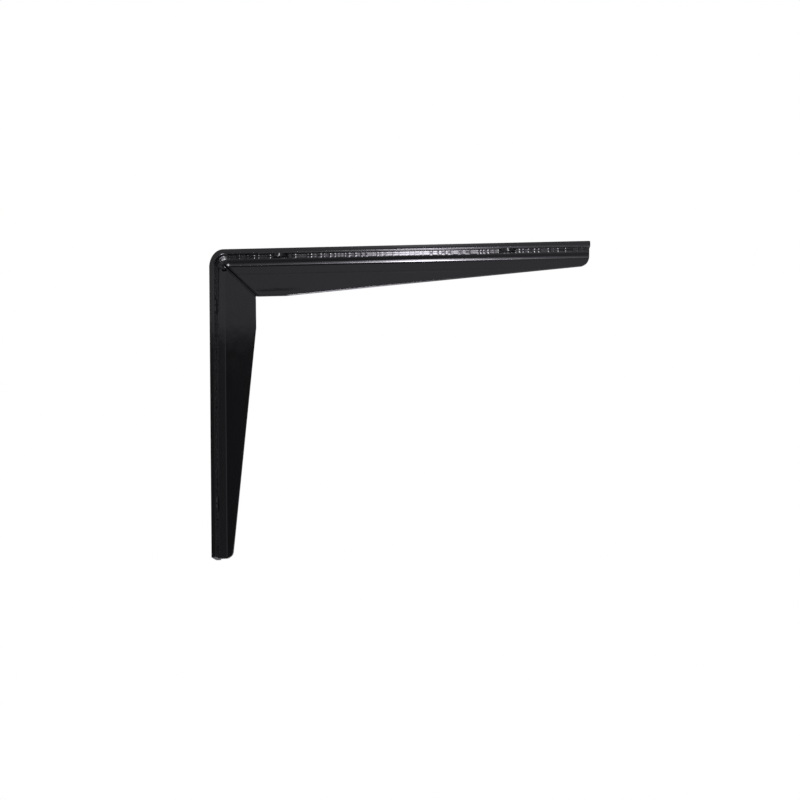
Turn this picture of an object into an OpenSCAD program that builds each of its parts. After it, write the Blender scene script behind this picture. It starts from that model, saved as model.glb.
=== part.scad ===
// Shelf bracket bent from one length of rolled tee bar.
// The flat back of the tee lies against the wall and under the shelf.
// The web stands on the inside of the bend: it is notched there, closed up
// along a diagonal seam, and cut to a taper towards the end of each arm.
// Frame: X points away from the wall, Z points up and Y runs along the wall.
// The origin is on the wall face, halfway up the wall arm and halfway across it.

/* [Arms] */
// Length of the shelf arm, from the wall face to its end
shelf_length = 250; // [225:1:320]
// Length of the wall arm, from the shelf face down to its foot
wall_length = 202; // [190:1:260]

/* [Tee section] */
// Width of the flange
flange_width = 30; // [29:0.5:36]
// Thickness of the flange
flange_thickness = 3.3; // [2.8:0.1:4]
// Depth of the tee, from the back of the flange to the edge of the web
web_depth = 29.2; // [26:0.1:34]
// Thickness of the web
web_thickness = 3; // [2.6:0.1:4]
// Radius of the fillet between the flange and the web
root_radius = 6; // [4:0.25:6.5]
// Radius along the inner edges of the flange
flange_inner_edge = 0.7; // [0.3:0.1:1.2]
// Radius along the outer edges of the flange
flange_outer_edge = 0.4; // [0.2:0.1:1]

/* [Web taper and ends] */
// Distance from the wall face to the start of the taper on the shelf arm
shelf_taper_start = 49; // [40:0.5:70]
// Depth of the tee at the end of the shelf arm
shelf_end_depth = 13.5; // [12:0.5:20]
// Radius of the web's corner at the end of the shelf arm
shelf_end_radius = 6.5; // [3:0.5:8]
// Radius of the flange's corners at the end of the shelf arm, seen in plan
shelf_corner = 2; // [0.5:0.5:5]
// Distance from the shelf face to the start of the taper on the wall arm
wall_taper_start = 50; // [40:0.5:70]
// Depth of the tee at the foot of the wall arm
wall_end_depth = 12.5; // [12:0.1:20]
// Radius of the web's corner at the foot of the wall arm
wall_end_radius = 5; // [3:0.5:8]
// Radius of the flange's corners at the foot of the wall arm, seen in plan
wall_corner = 0.5; // [0.5:0.5:5]

/* [Bend and seam] */
// Radius of the bend on the outside
bend_outer_radius = 10.5; // [8:0.5:12]
// Radius of the bend on the inside of the flange
bend_inner_radius = 4.5; // [2:0.5:5]
// Width of the groove left along the seam
seam_width = 1.6; // [0.8:0.1:2]

/* [Screw holes] */
// Radius of a screw hole
hole_radius = 3; // [2.25:0.05:3.5]
// Radius of a countersink at the inner face of the flange
countersink_radius = 5.75; // [4.5:0.05:5.8]
// Depth of a countersink
countersink_depth = 2.3; // [1.2:0.1:2.6]
// Distance from the edge of the flange to the centre of a hole
hole_inset = 6.75; // [6.5:0.05:7]
// Distance from the wall face to the first hole of the shelf arm
shelf_hole_first = 46; // [42:1:60]
// Distance between the holes of the shelf arm
shelf_hole_pitch = 75; // [50:1:80]
// Distance from the shelf face to the first hole of the wall arm
wall_hole_first = 36; // [30:1:45]
// Distance between the holes of the wall arm
wall_hole_pitch = 65; // [45:1:70]

/* [Hidden] */
$fn = 64;
// Number of holes in each arm, taken in turn on the two sides of the web
holes_per_arm = 3;
// Reach of a cutting shape past the surface that it cuts
spare = 1;
hole_row = flange_width / 2 - hole_inset;
fillet_end = flange_thickness + root_radius;

// What is left of a square corner when a quarter circle is taken out of it.
// The corner is at the origin and the square lies towards +X and +Y.
module corner_waste(r) {
    difference() {
        translate([-spare, -spare]) square(r + spare);
        translate([r, r]) circle(r);
    }
}

// One half of the tee section: the back of the flange is on Y = 0,
// the web stands along +Y and the middle of the web is on X = 0.
module half_section() {
    difference() {
        square([flange_width / 2, flange_thickness]);
        translate([flange_width / 2, 0]) mirror([1, 0]) corner_waste(flange_outer_edge);
        translate([flange_width / 2, flange_thickness]) rotate(180) corner_waste(flange_inner_edge);
    }
    square([web_thickness / 2, web_depth]);
    translate([web_thickness / 2, flange_thickness])
        difference() {
            square(root_radius);
            translate([root_radius, root_radius]) circle(root_radius);
        }
}

module tee_section() {
    half_section();
    mirror([1, 0]) half_section();
}

// Side view of what the taper takes off the web, in arm coordinates:
// X along the arm, Y the depth below the back of the flange.
// The web's end corner is rounded where the taper meets the end of the arm.
module taper_waste(length, start, end_depth, r) {
    slope = atan((web_depth - end_depth) / (length - start));
    centre = [length - r, end_depth + r * tan(slope) - r / cos(slope)];
    touch = centre + r * [sin(slope), cos(slope)];
    polygon([
        [start, web_depth],
        [start, web_depth + spare],
        [length + spare, web_depth + spare],
        [length + spare, end_depth - spare * tan(slope)]
    ]);
    difference() {
        polygon([centre, touch, [length + spare, touch[1] + spare], [length + spare, centre[1]]]);
        translate(centre) circle(r);
    }
}

// One countersunk screw hole, from the back of the flange inwards.
// The countersinking tool also trims the root fillet beside the hole.
module screw_hole() {
    land = flange_thickness - countersink_depth;
    translate([0, 0, -spare]) cylinder(h = flange_thickness + 2 * spare, r = hole_radius);
    translate([0, 0, land]) cylinder(h = countersink_depth, r1 = hole_radius, r2 = countersink_radius);
    translate([0, 0, flange_thickness]) cylinder(h = root_radius + spare, r = countersink_radius);
}

// One arm of the bracket along +X, with the back of the flange on Z = 0
// and the web standing along +Z.
module arm(length, start, end_depth, end_radius, corner, hole_first, hole_pitch) {
    difference() {
        rotate([90, 0, 90]) linear_extrude(length) tee_section();
        rotate([90, 0, 0])
            linear_extrude(flange_width, center = true)
                taper_waste(length, start, end_depth, end_radius);
        for (side = [0, 1])
            mirror([0, side, 0])
                translate([length, flange_width / 2, -spare])
                    rotate(180)
                        linear_extrude(fillet_end) corner_waste(corner);
        for (i = [0 : holes_per_arm - 1])
            translate([hole_first + i * hole_pitch, i % 2 == 0 ? -hole_row : hole_row, 0])
                screw_hole();
    }
}

// The bent corner of the flange: filled on the inside, in the same coordinates
// as the shelf arm before it is turned over.
module bend_fill() {
    translate([flange_thickness, 0, flange_thickness])
        rotate([90, 0, 0])
            linear_extrude(flange_width - 2 * flange_inner_edge, center = true)
                difference() {
                    square(bend_inner_radius);
                    translate([bend_inner_radius, bend_inner_radius]) circle(bend_inner_radius);
                }
}

module bend_waste() {
    rotate([90, 0, 0])
        linear_extrude(flange_width + 2 * spare, center = true)
            corner_waste(bend_outer_radius);
}

// The groove along the closed notch, on both faces of the web.
module seam_grooves() {
    reach = (web_depth - fillet_end + spare) * sqrt(2);
    for (side = [-1, 1])
        translate([fillet_end, side * web_thickness / 2, fillet_end])
            rotate([0, -45, 0])
                rotate([45, 0, 0])
                    translate([0, -seam_width / sqrt(8), -seam_width / sqrt(8)])
                        cube([reach, seam_width / sqrt(2), seam_width / sqrt(2)]);
}

// Both arms meet at the outer corner. Here X points along the shelf arm and
// Z points down the wall arm, and the whole is turned into its frame at the end.
module bracket() {
    color("#1c1b1e")
        translate([0, 0, wall_length / 2])
            mirror([0, 0, 1])
                difference() {
                    union() {
                        arm(shelf_length, shelf_taper_start, shelf_end_depth, shelf_end_radius,
                            shelf_corner, shelf_hole_first, shelf_hole_pitch);
                        mirror([1, 0, -1])
                            arm(wall_length, wall_taper_start, wall_end_depth, wall_end_radius,
                                wall_corner, wall_hole_first, wall_hole_pitch);
                        bend_fill();
                    }
                    bend_waste();
                    seam_grooves();
                }
}

bracket();
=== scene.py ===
import math

import bpy
import numpy as np
from mathutils import Matrix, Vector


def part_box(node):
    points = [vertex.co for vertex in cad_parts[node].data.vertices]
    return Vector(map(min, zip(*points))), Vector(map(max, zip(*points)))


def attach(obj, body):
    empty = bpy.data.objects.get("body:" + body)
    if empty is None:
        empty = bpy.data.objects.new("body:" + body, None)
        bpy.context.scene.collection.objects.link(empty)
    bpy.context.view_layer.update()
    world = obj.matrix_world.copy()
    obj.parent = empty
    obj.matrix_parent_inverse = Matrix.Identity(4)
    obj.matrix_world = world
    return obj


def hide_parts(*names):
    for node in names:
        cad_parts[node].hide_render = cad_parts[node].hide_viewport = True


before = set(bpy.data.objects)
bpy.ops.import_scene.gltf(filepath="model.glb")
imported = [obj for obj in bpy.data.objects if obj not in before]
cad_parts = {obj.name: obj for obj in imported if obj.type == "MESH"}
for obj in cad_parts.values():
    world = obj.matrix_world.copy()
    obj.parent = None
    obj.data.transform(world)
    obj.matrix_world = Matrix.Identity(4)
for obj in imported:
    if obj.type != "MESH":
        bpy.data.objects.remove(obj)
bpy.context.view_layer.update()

# The tee bar
# The whole bracket is one length of rolled steel tee bar, with its flat back against the wall and the shelf.
# The web is notched, the bar is bent to a right angle and the notch is closed along a diagonal seam.
# The web is then cut to a taper, with a rounded corner at the end of each arm.
MM = 0.001
low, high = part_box("bracket")
wall_face = low.x
shelf_face = high.z
flange_half = (high.y - low.y) / 2
flange_thickness = 3.3 * MM
flange_outer_edge = (0.15 * MM, 1.9 * MM)
flange_inner_edge = (0.5 * MM, 0.85 * MM)
widest_corner = 2 * MM
web_depth = 29.2 * MM
web_half = 1.5 * MM
toe_round = (0.35 * MM, 0.35 * MM)
root_radius = 6.25 * MM
root_step = 4 * MM
step_rounds = (0.12 * MM, 0.2 * MM)
root_end = flange_thickness + root_radius
root_side = web_half + root_radius
step_side = root_step + step_rounds[0]
end_round = 0.2 * MM

# Each arm has its own taper: where it starts, the tee's depth at the end and the radius of the web's corner.
# The flange has a corner radius of its own, seen in plan.
shelf_arm = dict(
    length=high.x - low.x, start=49 * MM, end=13.5 * MM, web_corner=6.5 * MM, flange_corner=1.6 * MM,
)
wall_arm = dict(
    length=high.z - low.z, start=50 * MM, end=12.5 * MM, web_corner=5 * MM, flange_corner=0.5 * MM,
)

# The section is drawn as (across, depth) pairs, with depth measured from the back of the flange.
edge_steps = 8
face_margin = 0.25 * MM
outer_centre = (flange_half - flange_outer_edge[0], flange_outer_edge[1])
inner_centre = (flange_half - flange_inner_edge[0], flange_thickness - flange_inner_edge[1])
corner_start = flange_half - widest_corner
root_row = 4


def arc(centre, radii, first, last, steps):
    """Points on a round or oval arc of the section, from one angle in degrees to another."""
    angle = np.radians(np.linspace(first, last, steps + 1))
    return np.column_stack([centre[0] + radii[0] * np.cos(angle), centre[1] + radii[1] * np.sin(angle)])


def level(depth, first, last, steps):
    """Points across the flange at one depth."""
    across = np.linspace(first, last, steps + 1)
    return np.column_stack([across, np.full_like(across, depth)])


def half_thickness(depth):
    """Half the thickness of the bar at a depth: the root fillet, then the web."""
    rise = np.clip(root_end - depth, 0, root_radius)
    return web_half + root_radius - np.sqrt(root_radius**2 - rise**2)


back_rows = np.vstack([
    level(0, 0, step_side, root_row),
    level(0, step_side + face_margin, corner_start, 4),
    level(0, corner_start + face_margin, outer_centre[0] - face_margin, 3),
])
edge_rows = np.vstack([
    arc(outer_centre, flange_outer_edge, -90, 0, edge_steps),
    arc(inner_centre, flange_inner_edge, 0, 90, edge_steps),
])
under_rows = np.vstack([
    level(flange_thickness, inner_centre[0] - face_margin, corner_start + face_margin, 3),
    level(flange_thickness, corner_start, step_side + face_margin, 4),
])
# The inside of the flange is flat as far as a low step in the root, which is rounded at its foot and top.
# The rest of the root is a round fillet, which starts a little past the top of the step.
# Down to half its depth the root keeps its place. Below that its rows move up with the edge of the web.
stem_start = flange_thickness + root_radius / 2
step_slope = math.asin((root_side - root_step) / root_radius)
step_end = root_end - root_radius * math.cos(step_slope)
step_bevel = step_rounds[1] * math.tan((math.pi / 2 - step_slope) / 2)
step_angle = 90 - math.degrees(step_slope)
fillet_lead = 1.5
root_start = math.degrees(step_slope + fillet_lead * step_bevel / root_radius)
round_steps = 4
root_steps = 8
toe_steps = 5
step_margin = 0.05 * MM
step_foot = (step_side, flange_thickness + step_rounds[0])
step_top = (root_step - step_rounds[1], step_end - step_bevel)
step_depths = np.linspace(step_foot[1] + step_margin, step_top[1] - step_margin, 4)
root_rows = np.vstack([
    arc(step_foot, (step_rounds[0], step_rounds[0]), -90, -180, round_steps),
    np.column_stack([np.full_like(step_depths, root_step), step_depths]),
    arc(step_top, (step_rounds[1], step_rounds[1]), 0, step_angle, round_steps),
    arc((root_side, root_end), (root_radius, root_radius), -90 - root_start, -150, root_steps),
])
web_rows = 28
root_share = 0.6
stem_depths = np.concatenate([
    root_end - root_radius * np.sin(np.radians(np.linspace(30, 0, 10)[1:])),
    np.linspace(root_end, web_depth, web_rows)[1:],
])


def section(toe):
    """The closed loop of the section where the edge of the web is at depth toe."""
    web_start = min(root_end, stem_start + root_share * (toe - stem_start))
    knots = [stem_start, root_end, web_depth]
    depth = np.interp(stem_depths, knots, [stem_start, web_start, toe - toe_round[1]])
    stem = np.column_stack([half_thickness(depth), depth])
    toe_rows = arc((stem[-1, 0] - toe_round[0], stem[-1, 1]), toe_round, 0, 90, toe_steps)[1:]
    half = np.vstack([back_rows, edge_rows, under_rows, root_rows, stem, toe_rows, [[0, toe]]])
    return np.vstack([half, half[-2:0:-1] * [-1, 1]])


def drawn_in(loop, amount):
    """The section drawn in all round by an amount, which rounds off the end of the bar."""
    ahead = np.roll(loop, -1, axis=0) - loop
    ahead /= np.linalg.norm(ahead, axis=1, keepdims=True)
    tangent = ahead + np.roll(ahead, 1, axis=0)
    tangent /= np.linalg.norm(tangent, axis=1, keepdims=True)
    return loop + amount * np.column_stack([-tangent[:, 1], tangent[:, 0]])


def toe_depth(along, arm):
    """Depth of the web's edge at a distance along an arm."""
    slope = math.atan((web_depth - arm["end"]) / (arm["length"] - arm["start"]))
    centre_depth = arm["end"] + arm["web_corner"] * (math.tan(slope) - 1 / math.cos(slope))
    past = along - arm["length"] + arm["web_corner"]
    if past > arm["web_corner"] * math.sin(slope):
        return centre_depth + math.sqrt(max(0, arm["web_corner"]**2 - past**2))
    return web_depth - max(0, along - arm["start"]) * math.tan(slope)


# The bend is round at the back of the flange and sharper with depth, down to the mitre of the web.
# At the back it reaches further down the wall arm than along the shelf arm.
bend_depths = [0, flange_thickness, root_end, root_end + 3 * MM]
bend_along_shelf = [9.3 * MM, 8.5 * MM, 4.2 * MM, 0.4 * MM]
bend_along_wall = [12.0 * MM, 6 * MM, 2.2 * MM, 0.4 * MM]
bend_steps = 16
turn_steps = 14
lip_steps = 5
beside_seam = np.array([0.1, 0.2, 0.3, 0.42, 0.55, 0.7, 0.9, 1.15, 1.45, 1.8, 2.3, 3, 4]) * MM
station_gap = 5 * MM
full_section = section(web_depth)
shelf_bend = np.interp(full_section[:, 1], bend_depths, bend_along_shelf)
wall_bend = np.interp(full_section[:, 1], bend_depths, bend_along_wall)


def arm_stations(arm):
    """Distances along an arm, past the stretch beside the seam, closer together at the rounded end."""
    first = web_depth + 2 * beside_seam[-1]
    turn_start = arm["length"] - arm["web_corner"]
    straight = np.linspace(first, turn_start, int((turn_start - first) / station_gap))
    straight[np.argmin(np.abs(straight - arm["start"]))] = arm["start"]
    turn = np.linspace(0, math.asin(1 - end_round / arm["web_corner"]), turn_steps)[1:]
    lip = np.radians(np.linspace(0, 90, lip_steps)[1:])
    return np.concatenate([
        straight,
        turn_start + arm["web_corner"] * np.sin(turn),
        arm["length"] - end_round * (1 - np.sin(lip)),
    ])


def arm_rings(arm, bend):
    """Rings of (along, across, depth) for the stations of an arm, from the bend to the end."""
    bend_end = full_section[:, 1] + bend
    rings = [np.column_stack([bend_end + gap, full_section]) for gap in beside_seam]
    for along in arm_stations(arm):
        past = max(0, along - arm["length"] + end_round) / end_round
        loop = drawn_in(section(toe_depth(along, arm)), end_round * (1 - math.sqrt(1 - past**2)))
        corner = arm["flange_corner"]
        beyond = np.clip(np.abs(loop[:, 0]) - flange_half + corner, 0, corner)
        set_back = corner - np.sqrt(corner**2 - beyond**2)
        nearness = np.clip(1 - (arm["length"] - along) / arm["web_corner"], 0, 1)
        rings.append(np.column_stack([along - set_back * nearness, loop]))
    return rings


# All rings are (out, across, down): out from the wall face and down from the shelf face.
bend_rings = []
for turn in np.radians(np.linspace(0, 90, bend_steps + 1)):
    bend_rings.append(np.column_stack([
        full_section[:, 1] + shelf_bend * (1 - math.sin(turn)),
        full_section[:, 0],
        full_section[:, 1] + wall_bend * (1 - math.cos(turn)),
    ]))
wall_rings = [ring[:, ::-1] for ring in arm_rings(wall_arm, wall_bend)]
rings = arm_rings(shelf_arm, shelf_bend)[::-1] + bend_rings + wall_rings
out, across, down = np.vstack(rings).T

# The seam is a groove, steep towards the wall arm and rolled over towards the shelf arm.
# A small pit is left at its upper end, where the notch was cut.
seam_depth = 0.8 * MM
seam_steep = [-0.75 * MM, -0.45 * MM]
seam_roll = 1.5 * MM
pit_place = (8.4 * MM, 10.6 * MM)
pit_spread = 0.8 * MM
pit_depth = 0.9 * MM
seam_fade = [5 * MM, 8 * MM]
seam_core = 0.3 * MM
from_seam = (out - down) / math.sqrt(2)
steep_side = np.interp(from_seam, seam_steep, [0, 1])
rolled_side = np.cos(np.clip(from_seam / seam_roll, 0, 1) * math.pi) / 2 + 0.5
from_pit = np.hypot(out - pit_place[0], down - pit_place[1])
pit = pit_depth * np.exp(-(from_pit / pit_spread)**2 / 2)
groove = np.maximum(seam_depth * steep_side * rolled_side, pit)
groove *= np.interp(np.minimum(out, down), seam_fade, [0, 1])

# Closing the notch also pressed in the shelf arm's web a little, in a short strip above its edge.
press_depths = [23.6 * MM, 26.9 * MM, 27.9 * MM]
press_amounts = [0, 0.045 * MM, 0.008 * MM]
press_reach = [29 * MM, 31 * MM, 55 * MM, 66 * MM]
pressed = np.interp(np.minimum(out, down), press_depths, press_amounts)
pressed *= np.interp(out, press_reach, [0, 1, 1, 0])
kept = np.minimum(np.abs(across), seam_core)
across = np.sign(across) * np.maximum(np.abs(across) - groove - pressed, kept)

# Each ring is joined to the next one by four-sided faces, and the two ends are closed.
ring_size = len(full_section)
half_size = ring_size // 2 + 1
edge_row = len(back_rows) + edge_steps
faces = []
for i in range(len(rings) - 1):
    for k in range(ring_size):
        corners = [(i, k), (i, k + 1), (i + 1, k + 1), (i + 1, k)]
        faces.append([ring * ring_size + row % ring_size for ring, row in corners])


def end_cap(first):
    """Faces that close one end: strips across both halves of the flange, and one face for the web."""
    pairs = [(i, 2 * edge_row + 1 - i) for i in range(root_row, edge_row + 1)]
    strips = [[a, c, d, b] for (a, b), (c, d) in zip(pairs, pairs[1:])]
    strips += [[-k % ring_size for k in strip[::-1]] for strip in strips]
    side = list(range(root_row + 1)) + list(range(pairs[0][1], half_size))
    web = side + [-k % ring_size for k in side[-2:0:-1]]
    return [[first + k for k in face] for face in strips + [web]]


faces += [face[::-1] for face in end_cap(0)]
faces += end_cap((len(rings) - 1) * ring_size)
bar_mesh = bpy.data.meshes.new("tee_bar")
bar_points = np.column_stack([wall_face + out, across, shelf_face - down])
bar_mesh.from_pydata(bar_points.tolist(), [], faces)
bracket = bpy.data.objects.new("painted_bracket", bar_mesh)
bpy.context.scene.collection.objects.link(bracket)

# The paint
# The bar is dipped or sprayed with one coat of black gloss enamel. It stands in small ridges on the step in
# the root, lower ones halfway along, and lies flatter on the web, where a faint rolling mark shows through.
paint_black = (0.0045, 0.0044, 0.0050, 1)
dust_grey = (0.030, 0.029, 0.028, 1)
paint_roughness = (0.045, 0.075)
ridge_length = 2.1 * MM
ridge_width = 25 * MM
ridge_height = 0.022 * MM
ridge_share = (0.44, 0.62)
ridge_depths = [3.4 * MM, 4.0 * MM, 4.5 * MM, 5.0 * MM]
ridge_sides = (4.06 * MM, 4.3 * MM)
smooth_place = 127 * MM
smooth_reach = (10 * MM, 24 * MM)
smooth_share = 0.3
streak_length = 90 * MM
streak_width = 2.6 * MM
streak_height = 0.004 * MM
peel_length = 3.2 * MM
peel_height = 0.0035 * MM
sag_length = 14 * MM
sag_height = 0.010 * MM
roll_mark_depth = 15.0 * MM
roll_mark_width = 1.2 * MM
roll_mark_height = 0.014 * MM
dust_scale = 420.0
dust_size = (0.05, 0.10)
dust_share = (0.90, 0.92)
gloss_length = 9 * MM
gloss_share = (0.3, 0.7)
paint_index = 1.5


def add(tree, kind, inputs=None, **settings):
    """A node of a kind. An input that is another node's output is linked, and any other is set as a value."""
    node = tree.nodes.new(kind)
    for name, value in settings.items():
        setattr(node, name, value)
    for key, value in (inputs or {}).items():
        if isinstance(value, bpy.types.NodeSocket):
            tree.links.new(value, node.inputs[key])
        else:
            node.inputs[key].default_value = value
    return node


def sum_of(tree, operation, *values):
    """The output of a Math node on two or three values or outputs."""
    return add(tree, "ShaderNodeMath", dict(enumerate(values)), operation=operation).outputs[0]


def fade(tree, value, first, last, start=0.0, stop=1.0):
    """A smooth step from start to stop as a value goes from first to last."""
    inputs = {"Value": value, "From Min": first, "From Max": last, "To Min": start, "To Max": stop}
    return add(tree, "ShaderNodeMapRange", inputs, interpolation_type="SMOOTHSTEP").outputs["Result"]


def noise(tree, place, lengths, detail=1.0):
    """Noise between 0 and 1 whose lumps have the given lengths along, across and into the bar."""
    scale = [1 / length for length in lengths]
    stretched = add(tree, "ShaderNodeVectorMath", {0: place, 1: scale}, operation="MULTIPLY").outputs[0]
    inputs = {"Vector": stretched, "Scale": 1.0, "Detail": detail}
    return add(tree, "ShaderNodeTexNoise", inputs).outputs["Fac"]


def black_enamel():
    """Gloss black enamel, patterned along, across and into the bar so that it turns the corner with it."""
    paint = bpy.data.materials.new("black_enamel")
    paint.use_nodes = True
    tree = paint.node_tree
    shader = tree.nodes["Principled BSDF"]
    place = add(tree, "ShaderNodeTexCoord").outputs["Object"]
    axes = add(tree, "ShaderNodeSeparateXYZ", {0: place}).outputs
    from_wall = sum_of(tree, "SUBTRACT", axes["X"], wall_face)
    from_shelf = sum_of(tree, "SUBTRACT", shelf_face, axes["Z"])
    along = sum_of(tree, "MAXIMUM", from_wall, from_shelf)
    depth = sum_of(tree, "MINIMUM", from_wall, from_shelf)
    bar_inputs = {"X": along, "Y": axes["Y"], "Z": depth}
    bar_place = add(tree, "ShaderNodeCombineXYZ", bar_inputs).outputs[0]

    aside = sum_of(tree, "ABSOLUTE", axes["Y"])
    on_step = sum_of(tree, "MULTIPLY", fade(tree, depth, *ridge_depths[:2]),
                     fade(tree, depth, *ridge_depths[2:], 1.0, 0.0))
    on_step = sum_of(tree, "MULTIPLY", on_step, fade(tree, aside, *ridge_sides, 1.0, 0.0))
    ridge = fade(tree, noise(tree, bar_place, (ridge_length, ridge_width, ridge_width), 0.0), *ridge_share)
    off_smooth = sum_of(tree, "ABSOLUTE", sum_of(tree, "SUBTRACT", along, smooth_place))
    ridge = sum_of(tree, "MULTIPLY", ridge, fade(tree, off_smooth, *smooth_reach, smooth_share, 1.0))
    streak = noise(tree, bar_place, (streak_length, streak_width, streak_width))
    peel = noise(tree, bar_place, (peel_length, peel_length, peel_length))
    sag = noise(tree, bar_place, (sag_length, sag_length, sag_length))
    off_mark = sum_of(tree, "ABSOLUTE", sum_of(tree, "SUBTRACT", depth, roll_mark_depth))
    mark = fade(tree, off_mark, 0.0, roll_mark_width, -roll_mark_height, 0.0)
    height = sum_of(tree, "MULTIPLY_ADD", sum_of(tree, "MULTIPLY", ridge, on_step), ridge_height, mark)
    height = sum_of(tree, "MULTIPLY_ADD", streak, streak_height, height)
    height = sum_of(tree, "MULTIPLY_ADD", peel, peel_height, height)
    height = sum_of(tree, "MULTIPLY_ADD", sag, sag_height, height)
    bump = add(tree, "ShaderNodeBump", {"Strength": 1.0, "Distance": 1.0, "Height": height})

    dust = add(tree, "ShaderNodeTexVoronoi", {"Vector": place, "Scale": dust_scale}, feature="F1")
    speck = fade(tree, dust.outputs["Distance"], *dust_size, 1.0, 0.0)
    dust_draw = add(tree, "ShaderNodeSeparateColor", {0: dust.outputs["Color"]}).outputs[0]
    rare = fade(tree, dust_draw, *dust_share)
    dusty = sum_of(tree, "MULTIPLY", speck, rare)
    colour = add(tree, "ShaderNodeMix", {"Factor": dusty, "A": paint_black, "B": dust_grey}, data_type="RGBA")
    worn = noise(tree, bar_place, (gloss_length, gloss_length, gloss_length), 3.0)
    gloss = fade(tree, worn, *gloss_share, *paint_roughness)
    tree.links.new(colour.outputs["Result"], shader.inputs["Base Color"])
    tree.links.new(gloss, shader.inputs["Roughness"])
    tree.links.new(bump.outputs["Normal"], shader.inputs["Normal"])
    shader.inputs["IOR"].default_value = paint_index
    return paint


enamel = black_enamel()

# The screw holes
# Three holes are drilled and countersunk in each arm, in turn on the two sides of the web.
# Each countersink is cut off straight on the web's side, just in front of the step in the root.
hole_radius = 3 * MM
countersink_radius = 5.75 * MM
countersink_depth = 2.75 * MM
hole_edge = 0.25 * MM
hole_row = flange_half - 6.75 * MM
tool_spare = 1 * MM
tool_lip = 0.02 * MM
tool_reach = 0.5 * MM
step_gap = 0.35 * MM
tool_limit = hole_row - step_side - step_gap
tool_sides = 64
shelf_holes = dict(first=46 * MM, pitch=75 * MM)
wall_holes = dict(first=36 * MM, pitch=65 * MM)

# The tool's outline, as (radius, height) pairs, with height measured up from the back of the flange.
# Parts of hole_edge ease the rims at both ends of the hole.
tool_outline = [
    (0, tool_spare),
    (hole_radius + hole_edge, tool_spare),
    (hole_radius + hole_edge, tool_lip),
    (hole_radius + 0.3 * hole_edge, -0.3 * hole_edge),
    (hole_radius, -hole_edge),
    (hole_radius, countersink_depth - flange_thickness),
    (countersink_radius - hole_edge, -flange_thickness + hole_edge),
    (countersink_radius, -flange_thickness + 0.2 * hole_edge),
    (countersink_radius + hole_edge, -flange_thickness - 0.05 * hole_edge),
    (countersink_radius + hole_edge, -flange_thickness - tool_reach),
    (0, -flange_thickness - tool_reach),
]


def turned(name, outline, sides):
    """A solid turned on Z from an outline, closed on the axis and cut off straight on the web's side."""
    angle = np.linspace(0, 2 * math.pi, sides, endpoint=False)
    points = [(0, 0, outline[0][1]), (0, 0, outline[-1][1])]
    for radius, height in outline[1:-1]:
        points += [(radius * math.cos(a), radius * math.sin(a), height) for a in angle]
    count = len(outline) - 2
    faces = []
    for k in range(sides):
        after = (k + 1) % sides
        faces.append([0, 2 + k, 2 + after])
        for i in range(count - 1):
            near = 2 + i * sides
            faces.append([near + k, near + sides + k, near + sides + after, near + after])
        faces.append([1, 2 + (count - 1) * sides + after, 2 + (count - 1) * sides + k])
    points = [(x, min(y, tool_limit), z) for x, y, z in points]
    mesh = bpy.data.meshes.new(name)
    mesh.from_pydata(points, [], faces)
    solid = bpy.data.objects.new(name, mesh)
    bpy.context.scene.collection.objects.link(solid)
    return solid


def screw_hole_tree():
    """Geometry Nodes that cut a row of holes with a tool, with every second hole moved across the bar."""
    tree = bpy.data.node_groups.new("screw_holes", "GeometryNodeTree")
    sockets = {
        "Bar": "NodeSocketGeometry", "Tool": "NodeSocketObject", "Holes": "NodeSocketInt",
        "First": "NodeSocketVector", "Pitch": "NodeSocketVector", "Step across": "NodeSocketVector",
        "Turn": "NodeSocketVector", "Finish": "NodeSocketMaterial",
    }
    for name, kind in sockets.items():
        tree.interface.new_socket(name, in_out="INPUT", socket_type=kind)
    tree.interface.new_socket("Drilled bar", in_out="OUTPUT", socket_type="NodeSocketGeometry")
    given = tree.nodes.new("NodeGroupInput").outputs
    line_inputs = {"Count": given["Holes"], "Start Location": given["First"], "Offset": given["Pitch"]}
    line = add(tree, "GeometryNodeMeshLine", line_inputs, mode="OFFSET", count_mode="TOTAL")
    index = add(tree, "GeometryNodeInputIndex").outputs[0]
    odd = sum_of(tree, "MODULO", index, 2.0)
    step = add(tree, "ShaderNodeVectorMath", {0: given["Step across"], "Scale": odd}, operation="SCALE")
    spots = add(tree, "GeometryNodeSetPosition", {"Geometry": line.outputs[0], "Offset": step.outputs[0]})
    tool = add(tree, "GeometryNodeObjectInfo", {"Object": given["Tool"]})
    turn = add(tree, "FunctionNodeEulerToRotation", {0: given["Turn"]})
    tools = add(tree, "GeometryNodeInstanceOnPoints", {
        "Points": spots.outputs[0], "Instance": tool.outputs["Geometry"], "Rotation": turn.outputs[0],
    })
    half_turn = add(tree, "ShaderNodeCombineXYZ", {"Z": sum_of(tree, "MULTIPLY", odd, math.pi)})
    facing = add(tree, "FunctionNodeEulerToRotation", {0: half_turn.outputs[0]})
    tools = add(tree, "GeometryNodeRotateInstances", {
        "Instances": tools.outputs[0], "Rotation": facing.outputs[0],
    })
    cutters = add(tree, "GeometryNodeRealizeInstances", {0: tools.outputs[0]})
    drilled = add(tree, "GeometryNodeMeshBoolean", {"Mesh 1": given["Bar"], "Mesh 2": cutters.outputs[0]},
                  operation="DIFFERENCE", solver="EXACT")
    whole = add(tree, "GeometryNodeRealizeInstances", {0: drilled.outputs["Mesh"]})
    finished = add(tree, "GeometryNodeSetMaterial", {
        "Geometry": whole.outputs[0], "Material": given["Finish"],
    })
    result = tree.nodes.new("NodeGroupOutput")
    tree.links.new(finished.outputs[0], result.inputs[0])
    return tree


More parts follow.
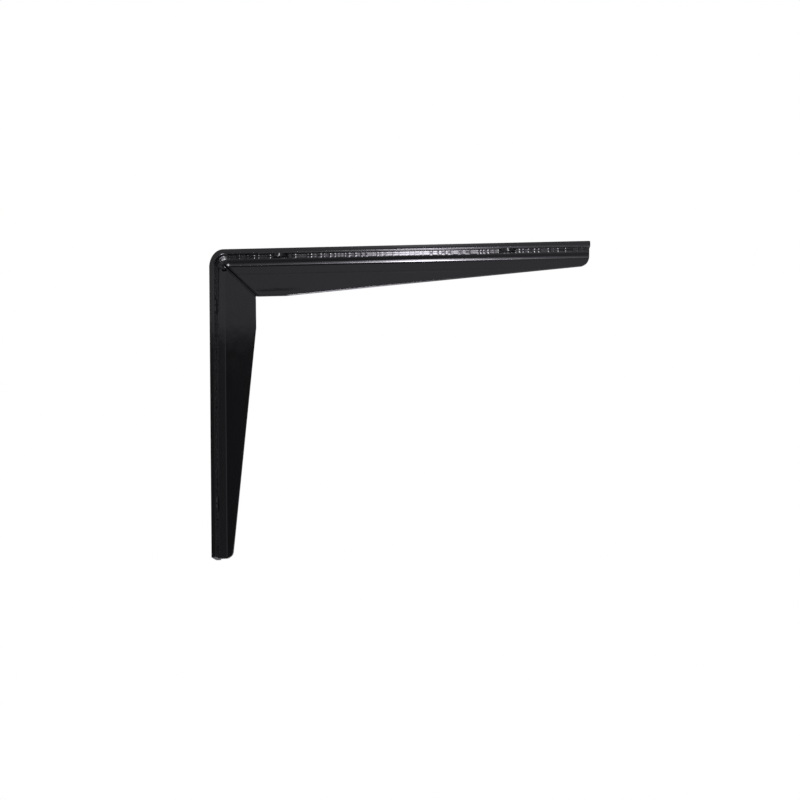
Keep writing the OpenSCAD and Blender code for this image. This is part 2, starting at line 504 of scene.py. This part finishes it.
holes_per_arm = 3
sharpest_smooth = math.radians(32)
tool = turned("countersink_tool", tool_outline, tool_sides)
hole_tree = screw_hole_tree()
sockets = {item.name: item.identifier for item in hole_tree.interface.items_tree if item.in_out == "INPUT"}
hole_rows = {
    "shelf_holes": dict(
        first=(wall_face + shelf_holes["first"], -hole_row, shelf_face),
        pitch=(shelf_holes["pitch"], 0, 0),
        turn=(0, 0, 0),
    ),
    "wall_holes": dict(
        first=(wall_face, -hole_row, shelf_face - wall_holes["first"]),
        pitch=(0, 0, -wall_holes["pitch"]),
        turn=(0, -math.pi / 2, 0),
    ),
}
for name, row in hole_rows.items():
    drill = bracket.modifiers.new(name, "NODES")
    drill.node_group = hole_tree
    drill[sockets["Tool"]] = tool
    drill[sockets["Holes"]] = holes_per_arm
    drill[sockets["First"]] = row["first"]
    drill[sockets["Pitch"]] = row["pitch"]
    drill[sockets["Step across"]] = (0, 2 * hole_row, 0)
    drill[sockets["Turn"]] = row["turn"]
    drill[sockets["Finish"]] = enamel


def applied(piece):
    """The mesh of a piece with its modifiers worked into it, which are then taken off."""
    shaped = piece.evaluated_get(bpy.context.evaluated_depsgraph_get())
    mesh = bpy.data.meshes.new_from_object(shaped)
    piece.modifiers.clear()
    return mesh


# The paint is smooth over every rounded edge, and the wide flat faces stay flat up to the rims of the holes.
bracket.data = applied(bracket)
bpy.data.objects.remove(tool)
bracket.data.shade_smooth()
bracket.data.set_sharp_from_angle(angle=sharpest_smooth)
flat_faces = bracket.modifiers.new("flat_faces", "WEIGHTED_NORMAL")
flat_faces.keep_sharp = True
bracket.data = applied(bracket)
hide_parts("bracket")
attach(bracket, "root")

# The studio
# A pale floor well below the bracket takes its soft shadow under an even white light.
# A dim room stands round it and shows only in the gloss, with a narrow strip light in front and below.
floor_drop = 0.20
floor_size = 60.0
floor_white = (0.92, 0.92, 0.92, 1)
floor_level = low.z - floor_drop
room_radius = 4.0
room_low = (0.06, 0.50)
room_far_low = 0.15
room_high = (0.545, 0.605)
room_tint = (1.0, 0.96, 1.06, 1)
room_back = 0.028
room_ceiling = 0.80
room_line = (0.68, 0.73)
bench_gain = (1.0, 1.6)
right_side = (0.10, 0.35)
far_right = (0.70, 0.95)
middle_side = (-0.30, 0.0)
ceiling_line = (2.4, 3.4)
strip_place = 0.137
strip_half_width = 0.088
strip_falloff = 2.6

# Tones by direction, as (first, last, tone): each tone is reached gradually between two angles in degrees.
# The first list goes round from the front to the back, the others from the front horizon down and under.
turn_tones = [(50, 90, 0.75), (98, 112, 0.0)]
bench_tones = [
    (0.3, 1.2, 0.40), (29, 33, 0.21), (64, 80, 0.40), (92, 100, 1.2), (140, 165, 0.06), (172, 175, 0.25),
]
strip_up = 1.1
strip_tones = [
    (-15.5, -12.5, 0), (0.3, 8, 5), (8.5, 10.5, 85), (12.7, 14.5, 18),
    (28, 33, 0), (87, 92, 30), (125, 150, 1),
]


def stage_piece(name, points, faces, material):
    """A mesh of the stage, which isn't part of the bracket."""
    mesh = bpy.data.meshes.new(name)
    mesh.from_pydata(points, [], faces)
    mesh.materials.append(material)
    piece = bpy.data.objects.new(name, mesh)
    bpy.context.scene.collection.objects.link(piece)
    return piece


floor_paper = bpy.data.materials.new("floor_paper")
floor_paper.use_nodes = True
paper = floor_paper.node_tree.nodes["Principled BSDF"].inputs
paper["Base Color"].default_value = floor_white
paper["Roughness"].default_value = 1.0
paper["Specular IOR Level"].default_value = 0.0
half_floor = floor_size / 2
floor = stage_piece("floor", [
    (-half_floor, -half_floor, floor_level), (half_floor, -half_floor, floor_level),
    (half_floor, half_floor, floor_level), (-half_floor, half_floor, floor_level),
], [(0, 1, 2, 3)], floor_paper)
floor.visible_glossy = False


def tone_by_angle(tree, angle, start, tones):
    """A tone that starts at one value and passes to the next ones as an angle grows."""
    total = start
    before = start
    for first, last, tone in tones:
        total = sum_of(tree, "ADD", total, fade(tree, angle, first, last, 0.0, tone - before))
        before = tone
    return total


def dim_room():
    """The tone of the room by direction: dark behind, grey in front above eye level, and the strip light."""
    room = bpy.data.materials.new("dim_room")
    room.use_nodes = True
    tree = room.node_tree
    tree.nodes.clear()
    place = add(tree, "ShaderNodeTexCoord").outputs["Object"]
    axes = add(tree, "ShaderNodeSeparateXYZ", {0: place}).outputs
    ahead = sum_of(tree, "MULTIPLY", axes["Y"], -1.0)
    aside = sum_of(tree, "ABSOLUTE", axes["X"])
    under = sum_of(tree, "SUBTRACT", shelf_face - root_end, axes["Z"])
    turn = sum_of(tree, "DEGREES", sum_of(tree, "ARCTAN2", aside, ahead))
    dip = sum_of(tree, "DEGREES", sum_of(tree, "ARCTAN2", under, ahead))

    low_wall = fade(tree, axes["X"], *right_side, *room_low)
    far_change = fade(tree, axes["X"], *far_right, 0.0, room_far_low - room_low[1])
    low_wall = sum_of(tree, "ADD", low_wall, far_change)
    high_wall = fade(tree, axes["X"], *middle_side, *room_high)
    raised = fade(tree, axes["Z"], *room_line)
    wall = add(tree, "ShaderNodeMix", {"Factor": raised, "A": low_wall, "B": high_wall}).outputs["Result"]
    lit = tone_by_angle(tree, turn, 1.0, turn_tones)
    wall = add(tree, "ShaderNodeMix", {"Factor": lit, "A": room_back, "B": wall}).outputs["Result"]
    ceiling = fade(tree, axes["Z"], *ceiling_line)
    upper = add(tree, "ShaderNodeMix", {"Factor": ceiling, "A": wall, "B": room_ceiling}).outputs["Result"]
    lower = tone_by_angle(tree, dip, room_low[0], bench_tones)
    lower = sum_of(tree, "MULTIPLY", lower, fade(tree, axes["X"], *right_side, *bench_gain))
    below = sum_of(tree, "GREATER_THAN", under, 0.0)
    tone = add(tree, "ShaderNodeMix", {"Factor": below, "A": upper, "B": lower}).outputs["Result"]

    off_strip = sum_of(tree, "ABSOLUTE", sum_of(tree, "SUBTRACT", axes["X"], strip_place))
    spread = sum_of(tree, "POWER", sum_of(tree, "DIVIDE", off_strip, strip_half_width), strip_falloff)
    strip = tone_by_angle(tree, dip, strip_up, strip_tones)
    strip = sum_of(tree, "DIVIDE", strip, sum_of(tree, "ADD", spread, 1.0))
    glow = add(tree, "ShaderNodeEmission", {"Color": room_tint, "Strength": sum_of(tree, "ADD", tone, strip)})
    result = add(tree, "ShaderNodeOutputMaterial")
    tree.links.new(glow.outputs[0], result.inputs["Surface"])
    return room


room_rings = 24
room_points = [(0, 0, -room_radius), (0, 0, room_radius)]
for i in range(1, room_rings):
    tilt = math.pi * i / room_rings
    for k in range(2 * room_rings):
        turn = math.pi * k / room_rings
        room_points.append((
            room_radius * math.sin(tilt) * math.cos(turn),
            room_radius * math.sin(tilt) * math.sin(turn),
            -room_radius * math.cos(tilt),
        ))
room_faces = []
for k in range(2 * room_rings):
    after = (k + 1) % (2 * room_rings)
    room_faces.append((0, 2 + k, 2 + after))
    for i in range(room_rings - 2):
        near = 2 + i * 2 * room_rings
        far = near + 2 * room_rings
        room_faces.append((near + k, far + k, far + after, near + after))
    top = 2 + (room_rings - 2) * 2 * room_rings
    room_faces.append((1, top + after, top + k))
room = stage_piece("room", room_points, room_faces, dim_room())
for kind in ("camera", "diffuse", "transmission", "volume_scatter", "shadow"):
    setattr(room, "visible_" + kind, False)

world = bpy.data.worlds.new("studio_light")
world.use_nodes = True
bpy.context.scene.world = world
sky = world.node_tree
sky.nodes.clear()
even_light = 1.09
paths = add(sky, "ShaderNodeLightPath").outputs
seen = sum_of(sky, "MAXIMUM", paths["Is Camera Ray"], paths["Is Glossy Ray"])
seen = sum_of(sky, "MAXIMUM", seen, paths["Is Transmission Ray"])
strength = add(sky, "ShaderNodeMix", {"Factor": seen, "A": even_light, "B": 1.0}).outputs["Result"]
sky_glow = add(sky, "ShaderNodeBackground", {"Color": (1, 1, 1, 1), "Strength": strength})
sky.links.new(sky_glow.outputs[0], add(sky, "ShaderNodeOutputWorld").inputs["Surface"])

# The camera
# It stands lower than the foot of the wall arm, a little to the right of the bracket's middle, and looks up.
camera_spot = (0.1420, -1.3831, -0.18655)
yaw_angle = 0.782
pitch_angle = 97.706
roll_angle = -1.150
camera_data = bpy.data.cameras.new("camera")
camera_data.sensor_width = 36
camera_data.lens = 95.76
camera = bpy.data.objects.new("camera", camera_data)
camera_yaw = Matrix.Rotation(math.radians(yaw_angle), 4, "Z")
camera_pitch = Matrix.Rotation(math.radians(pitch_angle), 4, "X")
camera_roll = Matrix.Rotation(math.radians(roll_angle), 4, "Z")
camera.matrix_world = Matrix.Translation(camera_spot) @ camera_yaw @ camera_pitch @ camera_roll
bpy.context.scene.collection.objects.link(camera)
bpy.context.scene.camera = camera
bpy.context.scene.view_settings.view_transform = "Standard"
